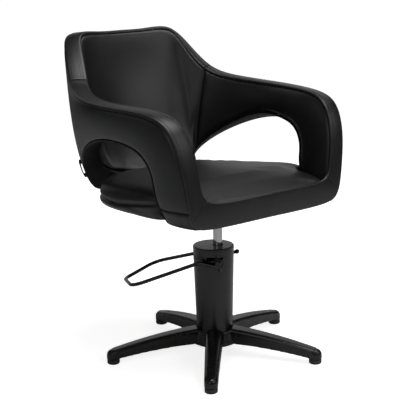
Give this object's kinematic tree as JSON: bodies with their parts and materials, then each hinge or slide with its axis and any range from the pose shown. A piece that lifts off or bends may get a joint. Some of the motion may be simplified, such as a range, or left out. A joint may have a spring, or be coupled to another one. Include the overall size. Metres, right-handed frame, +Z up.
{
  "type": "hairdressing chair",
  "caption": "Upholstered tub chair with open arm windows on a hydraulic column with a wire foot pedal and a star base; the seat swivels and rises.",
  "frame": {"origin": "middle of the chair's footprint box, on the floor", "axes": "+Z up; the sitter faces -Y; +X is the sitter's left"},
  "size_m": [0.6272, 0.699, 0.8472],
  "materials": {
    "black_enamel": "satin black",
    "glide_plastic": "matt",
    "steel": "machined",
    "chrome": "polished",
    "black_steel": "matt black",
    "seal_rubber": "matt",
    "bronze": "machined",
    "plywood": "sanded",
    "black_leatherette": "fine grain, semi-matt",
    "webbing": "woven"
  },
  "bodies": {
    "base": {"star_base": "black_enamel", "glides": "glide_plastic", "foot_bolts": "steel", "pump_foot": "steel", "pump_cover": "black_enamel", "pump_cap": "black_enamel", "cylinder": "steel", "gland": "steel", "ram_wiper": "seal_rubber", "valve_block": "steel", "shaft_brackets": "steel", "shaft_bushes": "bronze"},
    "piston": {"piston": "steel", "piston_seal": "seal_rubber", "thrust_washer": "bronze"},
    "seat": {"ram": "chrome", "seat_plate": "black_steel", "plate_bolts": "steel", "tee_nuts": "steel", "seat_board": "plywood", "seat_pan": "black_leatherette", "seat_cushion": "black_leatherette", "band_back": "black_leatherette", "band_arm_left": "black_leatherette", "band_arm_right": "black_leatherette", "band_front": "black_leatherette", "back_pad": "black_leatherette", "arm_pad_left": "black_leatherette", "arm_pad_right": "black_leatherette", "back_core": "plywood", "arm_core_left": "plywood", "arm_core_right": "plywood", "back_cover": "black_leatherette", "arm_cover_left": "black_leatherette", "arm_cover_right": "black_leatherette", "window_lining_left": "black_leatherette", "window_lining_right": "black_leatherette", "rear_loop": "webbing"},
    "pedal": {"pedal_shafts": "black_steel", "pedal_hubs": "black_enamel", "pedal_bolts": "black_steel", "pedal_loop": "black_enamel", "rocker": "steel"},
    "plunger": {"plunger": "steel"}
  },
  "joints": [
    {"name": "column_lift", "type": "slide", "parent": "base", "child": "piston", "axis": [0, 0, 1], "range_m": [-0.04, 0.11]},
    {"name": "seat_swivel", "type": "hinge", "parent": "piston", "child": "seat", "pos_m": [0, -0.1, 0.3], "axis": [0, 0, 1], "continuous": true},
    {"name": "pedal_pivot", "type": "hinge", "parent": "base", "child": "pedal", "pos_m": [0.00862, -0.11103, 0.258], "axis": [-0.788, -0.6157, 0], "range_deg": [0, 20], "stiffness_Nm_per_rad": 3, "springref_deg": -34.38},
    {"name": "plunger_slide", "type": "slide", "parent": "base", "child": "plunger", "axis": [0, 0, 1], "range_m": [-0.012, 0]}
  ],
  "couplings": [
    {"joint": "plunger_slide", "follows": "pedal_pivot", "m_per_rad": -0.028}
  ]
}
